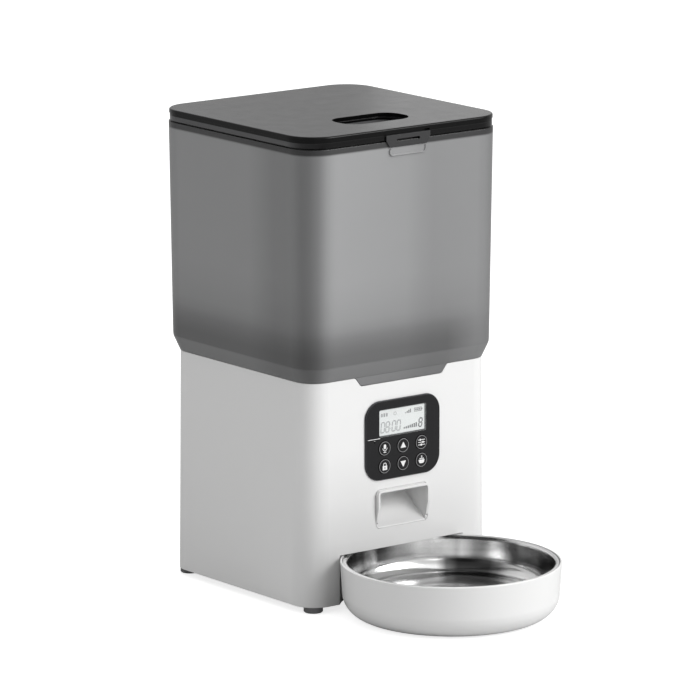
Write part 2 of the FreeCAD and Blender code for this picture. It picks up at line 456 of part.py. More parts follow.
# the opening in the plate is wider than the cup, which leaves a narrow ledge at each end
lid = lid.cut([slab(30.5, 14.0, Z_PLATE, Z_TOP + 1, cy=ry, hy=rh), slab(27.0, 13.5, 348.0, Z_PLATE + 0.1, cy=ry, hy=rh - 0.8)])
LY, LZ = YC - LID_HW + 2.4, 354.1        # latch pin
lid = lid.cut([box(-21.0, 21.0, -30, -22.3, Z_SKIRT - 1, Z_PLATE), cyl_x(LY, LZ, -23.4, 23.4, 1.08)])
put("lid_panel", lid)
put("lid_seal", slab(90.4, 18.7, 345.8, 350.0).cut(slab(89.6, 18.6, 345, 351)))
la = fuse(
    round_prism_y([(-20.6, 355.1, 0.4), (20.6, 355.1, 0.4), (20.6, 351.2, 1.2), (17.3, 346.1, 1.2), (-17.3, 346.1, 1.2), (-20.6, 351.2, 1.2)], YC - LID_HW - 0.5, YC - hop_hw(348) - 0.35),
    box(-20.2, 20.2, YC - LID_HW - 0.1, LY, 353.1, 355.1),
    cyl_x(LY, LZ, -23.1, 23.1, 1.0),
)
la = la.cut(plate_xz(-11.0, 11.0, 349.9, 351.9, 0.95, -30, -24))
put("lid_latch", la)
DX, DY0, DY1 = 32.0, 78.0, 128.0
dcy, dhy = (DY0 + DY1) / 2, (DY1 - DY0) / 2
put("desiccant_box", slab(DX, 4.0, 330.0, Z_PLATE, cy=dcy, hy=dhy).cut(slab(DX - 1.6, 2.6, 329, Z_PLATE - 1.6, cy=dcy, hy=dhy - 1.6)))
bag = slab(DX - 3.6, 6.0, 333.0, 350.0, cy=dcy, hy=dhy - 3.6)
bag = bag.makeFillet(4.0, [e for e in bag.Edges if abs(e.BoundBox.ZMax - e.BoundBox.ZMin) < 1e-4])
put("desiccant_bag", bag)
dc = slab(DX + 1.2, 4.6, 327.8, 330.0, cy=dcy, hy=dhy + 1.2)
dc = fuse(dc, slab(DX - 1.8, 2.4, 330.0, 332.4, cy=dcy, hy=dhy - 1.8).cut(slab(DX - 3.2, 1.6, 329, 333, cy=dcy, hy=dhy - 3.2)))
dc = dc.cut([slab(1.1, 1.0, 327, 331, cx=-24 + 6 * i, cy=dcy, hy=19) for i in range(9)])
put("desiccant_cover", dc)

# ---------------------------------------------------------------- bowl tray and liner
def LN(a, b):
    return Part.LineSegment(V(a[0], YB, a[1]), V(b[0], YB, b[1])).toShape()


def AR(a, m, b):
    return Part.Arc(V(a[0], YB, a[1]), V(m[0], YB, m[1]), V(b[0], YB, b[1])).toShape()


c45 = math.sqrt(0.5)
TR, TF = 81.0, 18.0
e = [
    LN((0, 0), (TR - TF, 0)),
    AR((TR - TF, 0), (TR - TF + TF * c45, TF - TF * c45), (TR, TF)),
    LN((TR, TF), (TRAY_R, TRAY_H - 0.6)),
    AR((TRAY_R, TRAY_H - 0.6), (TRAY_R - 0.25, TRAY_H - 0.15), (TRAY_R - 0.7, TRAY_H)),
    LN((TRAY_R - 0.7, TRAY_H), (80.95, TRAY_H)),
    LN((80.95, TRAY_H), (80.95, 38.2)),
    LN((80.95, 38.2), (78.7, 38.2)),
    LN((78.7, 38.2), (78.5, 18.4)),
    AR((78.5, 18.4), (62.5 + 16.0 * c45, 18.4 - 16.0 * c45), (62.5, 2.4)),
    LN((62.5, 2.4), (0, 2.4)),
    LN((0, 2.4), (0, 0)),
]
tray = revolve(e, 0, YB)
hook = box(-15.0, 15.0, 0.0, 11.0, 8.0, 12.0).cut(cyl(0, YB, 0, 50, 79.6))
hook = fuse(hook, box(-15.0, 15.0, 8.6, 11.0, 8.0, 12.0))
tray = fuse(tray, hook)
put("bowl_tray", tray)
T = 0.8
WO, WB, FR, FZ = 77.9, 76.3, 12.0, 13.6
e = [
    LN((0, FZ + 1.2), (26.0, FZ + 1.2)),
    LN((26.0, FZ + 1.2), (30.0, FZ)),
    LN((30.0, FZ), (WB - FR, FZ)),
    AR((WB - FR, FZ), (WB - FR + FR * c45, FZ + FR - FR * c45), (WB, FZ + FR)),
    LN((WB, FZ + FR), (WO, 38.55)),
    LN((WO, 38.55), (79.4, 38.55)),
    AR((79.4, 38.55), (80.5, 39.65), (79.4, 40.75)),
    LN((79.4, 40.75), (78.6, 40.75)),
    AR((78.6, 40.75), (77.6, 40.3), (WO - T, 39.3)),
    LN((WO - T, 39.3), (WB - T, FZ + FR)),
    AR((WB - T, FZ + FR), (WB - FR + (FR - T) * c45, FZ + FR - (FR - T) * c45), (WB - FR, FZ + T)),
    LN((WB - FR, FZ + T), (30.2, FZ + T)),
    LN((30.2, FZ + T), (26.2, FZ + 1.2 + T)),
    LN((26.2, FZ + 1.2 + T), (0, FZ + 1.2 + T)),
    LN((0, FZ + 1.2 + T), (0, FZ + 1.2)),
]
put("bowl_liner", revolve(e, 0, YB))

# ---------------------------------------------------------------- write one STEP per piece
os.makedirs("parts", exist_ok=True)
for name, shape in NODES.items():
    solids = shape.Solids
    shape = solids[0] if len(solids) == 1 else Part.makeCompound(solids)
    bb = shape.BoundBox
    print("%-20s solids %2d valid %s vol %10.1f  x %.2f %.2f y %.2f %.2f z %.2f %.2f" % (name, len(solids), shape.isValid(), shape.Volume, bb.XMin, bb.XMax, bb.YMin, bb.YMax, bb.ZMin, bb.ZMax))
    shape.exportStep("parts/%s.step" % name)
print(len(NODES), "pieces")
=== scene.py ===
import bpy, bmesh, json, math
from mathutils import Vector, Matrix


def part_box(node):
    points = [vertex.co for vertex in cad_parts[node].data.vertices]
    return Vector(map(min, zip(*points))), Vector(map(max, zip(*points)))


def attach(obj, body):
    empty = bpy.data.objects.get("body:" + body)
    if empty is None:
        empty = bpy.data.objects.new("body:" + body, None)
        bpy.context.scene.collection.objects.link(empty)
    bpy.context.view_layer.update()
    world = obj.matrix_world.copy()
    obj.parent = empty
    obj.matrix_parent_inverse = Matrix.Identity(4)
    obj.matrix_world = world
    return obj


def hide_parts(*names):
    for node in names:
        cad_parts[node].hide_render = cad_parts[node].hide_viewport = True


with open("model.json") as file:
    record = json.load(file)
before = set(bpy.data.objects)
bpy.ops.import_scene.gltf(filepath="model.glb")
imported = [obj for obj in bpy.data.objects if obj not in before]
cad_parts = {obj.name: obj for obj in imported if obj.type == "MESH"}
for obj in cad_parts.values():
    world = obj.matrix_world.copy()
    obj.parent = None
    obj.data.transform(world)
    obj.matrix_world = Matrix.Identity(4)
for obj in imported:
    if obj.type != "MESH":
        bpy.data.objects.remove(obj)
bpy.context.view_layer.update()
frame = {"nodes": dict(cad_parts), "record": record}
MM = 0.001
YC, YB = 0.067275, -0.078425
scene = bpy.context.scene


# ---------------------------------------------------------------- camera, world, lights, floor
def make_camera():
    data = bpy.data.cameras.new("camera")
    data.lens, data.sensor_width, data.clip_start, data.clip_end = 290.72, 36.0, 0.05, 60.0
    ob = bpy.data.objects.new("camera", data)
    back = Vector((-0.60167593, -0.77142305, 0.2071052)).normalized()
    right = Vector((0, 0, 1)).cross(back).normalized()
    up = back.cross(right)
    m = Matrix((right, up, back)).transposed().to_4x4()
    m.translation = Vector((-2.55978, -3.23852, 1.06118))
    ob.matrix_world = m
    scene.collection.objects.link(ob)
    scene.camera = ob


def nodes_of(tree):
    tree.nodes.clear()
    return tree.nodes, tree.links


def make_world():
    w = bpy.data.worlds.new("studio")
    scene.world = w
    w.use_nodes = True
    n, l = nodes_of(w.node_tree)
    out = n.new("ShaderNodeOutputWorld")
    bg = n.new("ShaderNodeBackground")
    tc = n.new("ShaderNodeTexCoord")
    l.new(bg.outputs[0], out.inputs[0])
    total = None
    def add(sock):
        nonlocal total
        if total is None:
            total = sock
            return
        a = n.new("ShaderNodeMath"); a.operation = "ADD"
        l.new(total, a.inputs[0]); l.new(sock, a.inputs[1])
        total = a.outputs[0]
    base = n.new("ShaderNodeValue"); base.outputs[0].default_value = WORLD_BASE
    add(base.outputs[0])
    for d, lo, hi, s in WORLD_SPOTS:
        dv = Vector(d).normalized()
        dot = n.new("ShaderNodeVectorMath"); dot.operation = "DOT_PRODUCT"
        nrm = n.new("ShaderNodeVectorMath"); nrm.operation = "NORMALIZE"
        l.new(tc.outputs["Generated"], nrm.inputs[0])
        l.new(nrm.outputs[0], dot.inputs[0])
        dot.inputs[1].default_value = dv
        mr = n.new("ShaderNodeMapRange"); mr.interpolation_type = "SMOOTHSTEP"
        mr.inputs["From Min"].default_value = lo; mr.inputs["From Max"].default_value = hi
        mr.inputs["To Min"].default_value = 0.0; mr.inputs["To Max"].default_value = s
        l.new(dot.outputs["Value"], mr.inputs["Value"])
        add(mr.outputs[0])
    l.new(total, bg.inputs["Strength"])
    bg.inputs["Color"].default_value = (1, 1, 1, 1)


WORLD_BASE = 0.60


def low(az, el):
    a, e = math.radians(az), math.radians(el)
    return (math.cos(a) * math.cos(e), math.sin(a) * math.cos(e), math.sin(e))


# soft boxes and black flags round the table: direction, inner and outer cosine, added brightness
WORLD_SPOTS = [
    ((0.62, 0.75, 0.22), 0.80, 1.0, 0.12),      # wall behind, seen in the lid
    ((0.1, -0.2, 1.0), 0.70, 0.98, 0.45),       # overhead soft box
    (low(8, 12), 0.90, 0.99, 0.15),
    (low(38, 10), 0.95, 0.99, -0.25),
    (low(-24, 10), 0.93, 0.985, -0.25),
    (low(-112, 8), 0.975, 0.995, 0.8),
    (low(-146, 10), 0.90, 0.985, -0.38),
    (low(-172, 14), 0.95, 0.99, 0.35),
]


def area(name, loc, target, size, power, size_y=None):
    d = bpy.data.lights.new(name, "AREA")
    d.energy, d.size = power, size
    if size_y:
        d.shape, d.size_y = "RECTANGLE", size_y
    o = bpy.data.objects.new(name, d)
    o.location = loc
    o.rotation_euler = (Vector(target) - Vector(loc)).to_track_quat("-Z", "Y").to_euler()
    scene.collection.objects.link(o)
    return o


def sun(name, direction, strength, angle):
    d = bpy.data.lights.new(name, "SUN")
    d.energy, d.angle = strength, math.radians(angle)
    o = bpy.data.objects.new(name, d)
    o.rotation_euler = (-Vector(direction)).to_track_quat("-Z", "Y").to_euler()
    scene.collection.objects.link(o)
    return o


def make_floor():
    me = bpy.data.meshes.new("floor")
    s = 30.0
    me.from_pydata([(-s, -s, 0), (s, -s, 0), (s, s, 0), (-s, s, 0)], [], [(0, 1, 2, 3)])
    ob = bpy.data.objects.new("floor", me)
    ob.location.z = -0.0004
    scene.collection.objects.link(ob)
    m = bpy.data.materials.new("floor_paper")
    m.use_nodes = True
    n, l = nodes_of(m.node_tree)
    out = n.new("ShaderNodeOutputMaterial")
    p = n.new("ShaderNodeBsdfPrincipled")
    tc = n.new("ShaderNodeTexCoord")
    no = n.new("ShaderNodeTexNoise"); no.inputs["Scale"].default_value = 3.0
    mx = n.new("ShaderNodeMix"); mx.data_type = "RGBA"
    mx.inputs["A"].default_value = (0.60, 0.60, 0.60, 1); mx.inputs["B"].default_value = (0.62, 0.62, 0.62, 1)
    l.new(tc.outputs["Object"], no.inputs["Vector"])
    l.new(no.outputs["Fac"], mx.inputs["Factor"])
    l.new(mx.outputs["Result"], p.inputs["Base Color"])
    p.inputs["Roughness"].default_value = 0.9
    p.inputs["Specular IOR Level"].default_value = 0.1
    lp = n.new("ShaderNodeLightPath")
    em = n.new("ShaderNodeMath"); em.operation = "MULTIPLY"; em.inputs[1].default_value = 0.76
    l.new(lp.outputs["Is Camera Ray"], em.inputs[0])
    p.inputs["Emission Color"].default_value = (1, 1, 1, 1)
    l.new(em.outputs[0], p.inputs["Emission Strength"])
    l.new(p.outputs[0], out.inputs[0])
    me.materials.append(m)


# ---------------------------------------------------------------- materials
def principled(name, base, rough=0.35, metal=0.0, var=0.02, rvar=0.04, scale=25.0, bump=0.0, bscale=900.0, edge=0.0, spec=0.5, ior=1.5, coat=0.0, trans=0.0, alpha=1.0, emit=0.0, zramp=None):
    """A moulded or coated surface: slow colour drift, uneven gloss, fine grain in the normal, and softened edges."""
    m = bpy.data.materials.new(name)
    m.use_nodes = True
    n, l = nodes_of(m.node_tree)
    out = n.new("ShaderNodeOutputMaterial")
    p = n.new("ShaderNodeBsdfPrincipled")
    l.new(p.outputs[0], out.inputs[0])
    tc = n.new("ShaderNodeTexCoord")
    no = n.new("ShaderNodeTexNoise")
    no.inputs["Scale"].default_value = scale
    no.inputs["Detail"].default_value = 4.0
    l.new(tc.outputs["Object"], no.inputs["Vector"])
    mx = n.new("ShaderNodeMix"); mx.data_type = "RGBA"
    lo = [min(1.0, c * (1 - var)) for c in base] + [1]
    hi = [min(1.0, c * (1 + var)) for c in base] + [1]
    mx.inputs["A"].default_value = lo; mx.inputs["B"].default_value = hi
    l.new(no.outputs["Fac"], mx.inputs["Factor"])
    color = mx.outputs["Result"]
    if zramp:
        sep = n.new("ShaderNodeSeparateXYZ")
        l.new(tc.outputs["Object"], sep.inputs[0])
        mr = n.new("ShaderNodeMapRange")
        z0, z1 = zramp[0][0], zramp[-1][0]
        mr.inputs["From Min"].default_value = z0; mr.inputs["From Max"].default_value = z1
        l.new(sep.outputs["Z"], mr.inputs["Value"])
        cr = n.new("ShaderNodeValToRGB")
        cr.color_ramp.interpolation = "LINEAR"
        els = cr.color_ramp.elements
        while len(els) > 1:
            els.remove(els[-1])
        els[0].position = 0.0; els[0].color = (zramp[0][1],) * 3 + (1,)
        for z, v in zramp[1:]:
            e = els.new((z - z0) / (z1 - z0)); e.color = (v,) * 3 + (1,)
        l.new(mr.outputs[0], cr.inputs[0])
        mu = n.new("ShaderNodeMix"); mu.data_type = "RGBA"; mu.blend_type = "MULTIPLY"
        mu.inputs["Factor"].default_value = 1.0
        l.new(color, mu.inputs["A"]); l.new(cr.outputs[0], mu.inputs["B"])
        color = mu.outputs["Result"]
    l.new(color, p.inputs["Base Color"])
    no2 = n.new("ShaderNodeTexNoise")
    no2.inputs["Scale"].default_value = scale * 3.1
    no2.inputs["Detail"].default_value = 6.0
    l.new(tc.outputs["Object"], no2.inputs["Vector"])
    mr2 = n.new("ShaderNodeMapRange")
    mr2.inputs["To Min"].default_value = max(0.02, rough - rvar); mr2.inputs["To Max"].default_value = rough + rvar
    l.new(no2.outputs["Fac"], mr2.inputs["Value"])
    l.new(mr2.outputs[0], p.inputs["Roughness"])
    nrm = None
    if edge > 0:
        bv = n.new("ShaderNodeBevel"); bv.samples = 6
        bv.inputs["Radius"].default_value = edge
        nrm = bv.outputs[0]
    if bump > 0:
        no3 = n.new("ShaderNodeTexNoise")
        no3.inputs["Scale"].default_value = bscale
        no3.inputs["Detail"].default_value = 2.0
        l.new(tc.outputs["Object"], no3.inputs["Vector"])
        b = n.new("ShaderNodeBump")
        b.inputs["Strength"].default_value = bump
        b.inputs["Distance"].default_value = 0.0002
        l.new(no3.outputs["Fac"], b.inputs["Height"])
        if nrm is not None:
            l.new(nrm, b.inputs["Normal"])
        nrm = b.outputs[0]
    if nrm is not None:
        l.new(nrm, p.inputs["Normal"])
    p.inputs["Metallic"].default_value = metal
    p.inputs["Specular IOR Level"].default_value = spec
    p.inputs["IOR"].default_value = ior
    if coat:
        p.inputs["Coat Weight"].default_value = coat
        p.inputs["Coat Roughness"].default_value = 0.06
    if trans:
        p.inputs["Transmission Weight"].default_value = trans
    if alpha < 1:
        p.inputs["Alpha"].default_value = alpha
    if emit:
        l.new(color, p.inputs["Emission Color"])
        p.inputs["Emission Strength"].default_value = emit
    return m


def ramp_on(n, l, sock, stops):
    """Colour ramp over a coordinate given in metres."""
    z0, z1 = stops[0][0], stops[-1][0]
    mr = n.new("ShaderNodeMapRange")
    mr.inputs["From Min"].default_value = z0; mr.inputs["From Max"].default_value = z1
    l.new(sock, mr.inputs["Value"])
    cr = n.new("ShaderNodeValToRGB")
    els = cr.color_ramp.elements
    while len(els) > 1:
        els.remove(els[-1])
    els[0].position = 0.0; els[0].color = (stops[0][1],) * 3 + (1,)
    for z, v in stops[1:]:
        e = els.new((z - z0) / (z1 - z0)); e.color = (v,) * 3 + (1,)
    l.new(mr.outputs[0], cr.inputs[0])
    return cr.outputs[0]


def mathn(n, l, op, a, b=None, clamp=False):
    m = n.new("ShaderNodeMath"); m.operation = op; m.use_clamp = clamp
    for i, v in enumerate((a, b)):
        if v is None:
            continue
        if isinstance(v, (int, float)):
            m.inputs[i].default_value = v
        else:
            l.new(v, m.inputs[i])
    return m.outputs[0]


def node_of(m, kind):
    return next(x for x in m.node_tree.nodes if x.bl_idname == kind)


def multiply_base(m, build):
    """Multiply the base colour of material m by a grey value that build(n, l, xyz) returns."""
    n, l = m.node_tree.nodes, m.node_tree.links
    p = node_of(m, "ShaderNodeBsdfPrincipled")
    src = p.inputs["Base Color"].links[0].from_socket
    sep = n.new("ShaderNodeSeparateXYZ")
    l.new(node_of(m, "ShaderNodeTexCoord").outputs["Object"], sep.inputs[0])
    mu = n.new("ShaderNodeMix"); mu.data_type = "RGBA"; mu.blend_type = "MULTIPLY"
    mu.inputs["Factor"].default_value = 1.0
    l.new(src, mu.inputs["A"]); l.new(build(n, l, sep.outputs), mu.inputs["B"])
    l.new(mu.outputs["Result"], p.inputs["Base Color"])


def hopper_painted_light(n, l, xyz):
    """Painted light and shade on the smoke plastic: darker toward the bottom where the funnel stands behind the wall, a
    dark band painted as the shadow under the lid's skirt, darker in the rounded corners, a painted highlight just right
    of the front-left corner and darker toward the right.
    """
    # painted shade: darker toward the bottom where the funnel stands behind the wall, fading toward the right side, and
    # a near-black band just under the lid painted as its shadow
    z = ramp_on(n, l, xyz["Z"], [(0.158, 0.55), (0.1745, 0.62), (0.1855, 0.64), (0.1866, 0.40), (0.194, 0.40), (0.200, 0.47), (0.207, 0.59), (0.213, 0.76), (0.220, 0.87), (0.235, 0.95), (0.250, 1.0), (0.3455, 1.0), (0.3462, 0.13), (0.3503, 0.13)])
    fade = ramp_on(n, l, xyz["X"], [(0.040, 0.0), (0.072, 0.62)])
    low = n.new("ShaderNodeMath"); low.operation = "LESS_THAN"; low.inputs[1].default_value = 0.3
    l.new(xyz["Z"], low.inputs[0])
    f = mathn(n, l, "MULTIPLY", fade, low.outputs[0])
    inv = mathn(n, l, "SUBTRACT", 1.0, z)
    z = mathn(n, l, "ADD", z, mathn(n, l, "MULTIPLY", inv, f))
    ax = mathn(n, l, "ABSOLUTE", xyz["X"])
    ay = mathn(n, l, "ABSOLUTE", mathn(n, l, "SUBTRACT", xyz["Y"], YC))
    mn = mathn(n, l, "MINIMUM", ax, ay)
    # painted shade in the rounded corners and on the front part of the side walls
    c = ramp_on(n, l, mn, [(0.067, 1.0), (0.075, 0.88), (0.081, 0.68), (0.088, 0.62)])
    side = ramp_on(n, l, ax, [(0.078, 0.0), (0.088, 1.0)])
    yr = ramp_on(n, l, mathn(n, l, "SUBTRACT", YC, xyz["Y"]), [(0.020, 0.0), (0.050, 0.24), (0.066, 0.24), (0.080, 0.10)])
    c = mathn(n, l, "MULTIPLY", c, mathn(n, l, "SUBTRACT", 1.0, mathn(n, l, "MULTIPLY", side, yr)))
    # painted highlight just right of the front-left corner, and painted shade across the right part of the front
    x = ramp_on(n, l, xyz["X"], [(-0.078, 1.0), (-0.064, 1.08), (-0.048, 1.05), (-0.02, 1.0), (0.0, 0.97), (0.012, 0.88), (0.025, 0.81), (0.050, 0.83), (0.078, 0.84)])
    return mathn(n, l, "MULTIPLY", mathn(n, l, "MULTIPLY", z, c), x)


def brushed(name, base, rough, centre):
    """Steel brushed round the bowl's axis: fine rings in gloss and normal, with a little colour drift, and painted
    reflections multiplied into the base colour.
    """
    m = bpy.data.materials.new(name)
    m.use_nodes = True
    n, l = nodes_of(m.node_tree)
    out = n.new("ShaderNodeOutputMaterial")
    p = n.new("ShaderNodeBsdfPrincipled")
    l.new(p.outputs[0], out.inputs[0])
    tc = n.new("ShaderNodeTexCoord")
    sep = n.new("ShaderNodeSeparateXYZ")
    l.new(tc.outputs["Object"], sep.inputs[0])
    y = mathn(n, l, "SUBTRACT", sep.outputs["Y"], centre[1])
    x = sep.outputs["X"]
    r = mathn(n, l, "SQRT", mathn(n, l, "ADD", mathn(n, l, "MULTIPLY", x, x), mathn(n, l, "MULTIPLY", y, y)))
    ang = mathn(n, l, "ARCTAN2", y, x)
    def rings(kr, ka, detail):
        cv = n.new("ShaderNodeCombineXYZ")
        l.new(mathn(n, l, "MULTIPLY", r, kr), cv.inputs[0])
        l.new(mathn(n, l, "MULTIPLY", ang, ka), cv.inputs[1])
        l.new(mathn(n, l, "MULTIPLY", sep.outputs["Z"], kr), cv.inputs[2])
        t = n.new("ShaderNodeTexNoise"); t.inputs["Scale"].default_value = 1.0; t.inputs["Detail"].default_value = detail
        l.new(cv.outputs[0], t.inputs["Vector"])
        return t.outputs["Fac"]
    fine, broad = rings(2600.0, 2.0, 3.0), rings(240.0, 1.2, 3.0)
    mr = n.new("ShaderNodeMapRange")
    mr.inputs["To Min"].default_value = rough - 0.05; mr.inputs["To Max"].default_value = rough + 0.06
    l.new(broad, mr.inputs["Value"]); l.new(mr.outputs[0], p.inputs["Roughness"])
    mx = n.new("ShaderNodeMix"); mx.data_type = "RGBA"
    mx.inputs["A"].default_value = [c * 0.90 for c in base] + [1]; mx.inputs["B"].default_value = [min(1, c * 1.08) for c in base] + [1]
    l.new(fine, mx.inputs["Factor"]); l.new(mx.outputs["Result"], p.inputs["Base Color"])
    b = n.new("ShaderNodeBump"); b.inputs["Strength"].default_value = 0.12; b.inputs["Distance"].default_value = 0.0001
    l.new(fine, b.inputs["Height"]); l.new(b.outputs[0], p.inputs["Normal"])
    # painted reflections: light and dark sectors round the wall and across the floor stand in for the bright and dark
    # surroundings mirrored in the steel
    rad = math.radians
    wall = ramp_on(n, l, ang, [(rad(a), v) for a, v in ((-60, 1.15), (-30, 0.60), (-10, 0.25), (2, 0.14), (9, 0.20), (15, 0.40), (22, 0.50), (30, 0.42), (38, 0.50), (42, 0.90), (45, 1.2), (48, 0.85), (54, 1.10), (59, 1.2), (64, 1.0), (70, 1.12), (76, 0.85), (83, 0.68), (90, 0.40), (97, 0.15), (101, 1.0), (107, 1.1), (111, 0.25), (118, 0.12), (135, 0.12), (150, 0.30), (165, 1.0), (178, 1.15))])
    floor_painted_reflection = ramp_on(n, l, ang, [(rad(a), v) for a, v in ((-90, 0.90), (-60, 0.60), (-20, 0.85), (5, 0.95), (14, 0.75), (22, 0.22), (28, 0.06), (47, 0.05), (54, 0.22), (60, 1.1), (80, 1.25), (104, 1.25), (109, 0.50), (114, 0.06), (122, 0.10), (130, 0.80), (150, 1.1), (175, 0.9))])
    # painted reflections across the middle of the floor, lighter toward +X
    centre_painted_reflection = ramp_on(n, l, r, [(0.0, 0.50), (0.012, 0.70), (0.022, 0.34), (0.029, 0.42), (0.034, 0.90), (0.039, 0.34), (0.050, 0.38), (0.058, 0.80)])
    side_painted_reflection = ramp_on(n, l, ang, [(rad(a), v) for a, v in ((-40, 0.0), (-5, 0.45), (20, 0.60), (48, 0.60), (66, 0.0))])
    centre_painted_reflection = mathn(n, l, "ADD", centre_painted_reflection, mathn(n, l, "MULTIPLY", side_painted_reflection, ramp_on(n, l, r, [(0.012, 0.0), (0.030, 1.0)])))
    w = ramp_on(n, l, r, [(0.057, 0.0), (0.064, 1.0)])
    t = ramp_on(n, l, sep.outputs["Z"], [(0.0238, 0.0), (0.0272, 1.0), (0.0383, 1.0), (0.0388, 0.0)])
    top = ramp_on(n, l, sep.outputs["Z"], [(0.0383, 0.0), (0.0388, 1.0)])
    f = mathn(n, l, "ADD", mathn(n, l, "MULTIPLY", centre_painted_reflection, mathn(n, l, "SUBTRACT", 1.0, w)), mathn(n, l, "MULTIPLY", floor_painted_reflection, w))
    f = mathn(n, l, "ADD", mathn(n, l, "MULTIPLY", f, mathn(n, l, "SUBTRACT", 1.0, t)), mathn(n, l, "MULTIPLY", wall, t))
    # painted shade: on top of the rim only the outer band is full bright; just inside it the dark painted sectors stay,
    # a thin dark line where the liner meets the tray
    rim_gap_shade = ramp_on(n, l, r, [(0.0784, 0.10), (0.0792, 1.0)])
    f = mathn(n, l, "MAXIMUM", f, mathn(n, l, "MULTIPLY", top, rim_gap_shade))
    grain = mathn(n, l, "ADD", mathn(n, l, "MULTIPLY", broad, 0.5), 0.75)
    f = mathn(n, l, "MULTIPLY", f, grain)
    mu = n.new("ShaderNodeMix"); mu.data_type = "RGBA"; mu.blend_type = "MULTIPLY"; mu.inputs["Factor"].default_value = 1.0; mu.clamp_result = True
    l.new(mx.outputs["Result"], mu.inputs["A"]); l.new(f, mu.inputs["B"]); l.new(mu.outputs["Result"], p.inputs["Base Color"])
    p.inputs["Metallic"].default_value = 1.0
    p.inputs["Anisotropic"].default_value = 0.5
    tg = n.new("ShaderNodeTangent"); tg.direction_type = "RADIAL"; tg.axis = "Z"
    l.new(tg.outputs[0], p.inputs["Tangent"])
    return m


def casing_painted_light(n, l, xyz):
    """Painted shade on the front wall: a little deeper in tone low down, near the bowl and toward the left, where the
    bowl tray shades it.
    """
    # painted shade on the front wall, low down beside the bowl
    z = ramp_on(n, l, xyz["Z"], [(0.0, 0.62), (0.040, 0.66), (0.052, 0.76), (0.084, 0.90), (0.120, 1.0)])
    fy = ramp_on(n, l, xyz["Y"], [(-0.0196, 1.0), (-0.010, 0.5), (0.004, 0.0)])
    fx = ramp_on(n, l, xyz["X"], [(-0.088, 0.6), (-0.070, 1.0), (-0.045, 1.0), (0.030, 0.55), (0.080, 0.35)])
    f = mathn(n, l, "SUBTRACT", 1.0, mathn(n, l, "MULTIPLY", mathn(n, l, "SUBTRACT", 1.0, z), mathn(n, l, "MULTIPLY", fy, fx)))
    # the chute inside its rim: a painted highlight at the top and painted shade at its bottom edge
    m = mathn(n, l, "LESS_THAN", mathn(n, l, "ABSOLUTE", xyz["X"]), 0.0212)
    m = mathn(n, l, "MULTIPLY", m, mathn(n, l, "MULTIPLY", mathn(n, l, "GREATER_THAN", xyz["Y"], -0.0190), mathn(n, l, "LESS_THAN", xyz["Y"], 0.040)))
    m = mathn(n, l, "MULTIPLY", m, mathn(n, l, "MULTIPLY", mathn(n, l, "GREATER_THAN", xyz["Z"], 0.0525), mathn(n, l, "LESS_THAN", xyz["Z"], 0.0885)))
    c = ramp_on(n, l, xyz["Z"], [(0.052, 0.0), (0.060, 0.04), (0.070, 0.22), (0.080, 0.33), (0.089, 0.34)])
    return mathn(n, l, "MULTIPLY", f, mathn(n, l, "ADD", 1.0, mathn(n, l, "MULTIPLY", m, mathn(n, l, "SUBTRACT", c, 0.16))))


def lid_edge_and_painted_shade(n, l, xyz):
    """Black edge all round the plate, which inside the finger recess is painted shadow under the top edge; the skirt
    under it is a little paler along the sides than in front, a painted shade on the front of the skirt.
    """
    # the band just below the top is near black: the plate's edge, and painted shadow where it runs round the finger
    # recess
    z = ramp_on(n, l, xyz["Z"], [(0.340, 0.80), (0.3549, 0.80), (0.3551, 0.02), (0.3598, 0.02), (0.35997, 0.60)])
    # painted shade: the skirt darker in front than along the sides and back
    y = ramp_on(n, l, xyz["Y"], [(-0.024, 0.12), (-0.014, 0.6), (0.0, 2.6)])
    g = mathn(n, l, "GREATER_THAN", xyz["Z"], 0.3549)
    k = mathn(n, l, "ADD", g, mathn(n, l, "MULTIPLY", y, mathn(n, l, "SUBTRACT", 1.0, g)))
    return mathn(n, l, "MULTIPLY", z, k)


M = {}
M["casing_white"] = principled("casing_white", (0.80, 0.80, 0.797), 0.22, var=0.008, rvar=0.03, bump=0.03, bscale=1400, edge=0.0006)
multiply_base(M["casing_white"], casing_painted_light)
M["tray_white"] = principled("tray_white", (0.80, 0.80, 0.797), 0.18, var=0.008, rvar=0.03, bump=0.02, bscale=1400, edge=0.0004)
M["hopper_smoke"] = principled("hopper_smoke", (0.335, 0.337, 0.341), 0.34, var=0.02, rvar=0.05, bump=0.04, bscale=1800, edge=0.0007, trans=0.15)
multiply_base(M["hopper_smoke"], hopper_painted_light)
M["funnel_smoke"] = principled("funnel_smoke", (0.10, 0.10, 0.103), 0.45, var=0.05, edge=0.0006)
M["lid_black"] = principled("lid_black", (0.046, 0.046, 0.047), 0.24, var=0.06, rvar=0.04, bump=0.04, bscale=1500, edge=0.0004, spec=0.20)
multiply_base(M["lid_black"], lid_edge_and_painted_shade)
M["latch_smoke"] = principled("latch_smoke", (0.042, 0.042, 0.043), 0.26, var=0.06, rvar=0.04, edge=0.0003, spec=0.25)
M["seal_silicone"] = principled("seal_silicone", (0.05, 0.05, 0.052), 0.6, var=0.05)
M["desiccant_plastic"] = principled("desiccant_plastic", (0.06, 0.06, 0.062), 0.4, var=0.05, edge=0.0004)
M["desiccant_paper"] = principled("desiccant_paper", (0.80, 0.79, 0.75), 0.85, var=0.05, scale=120, bump=0.3, bscale=700)
M["steel_bowl"] = brushed("steel_bowl", (0.84, 0.84, 0.84), 0.15, (0.0, YB))
M["foot_rubber"] = principled("foot_rubber", (0.13, 0.13, 0.133), 0.6, var=0.08, bump=0.1, bscale=1500, edge=0.0004)
M["panel_black"] = principled("panel_black", (0.0085, 0.0085, 0.0095), 0.24, var=0.05, rvar=0.03, edge=0.0004, spec=0.28)
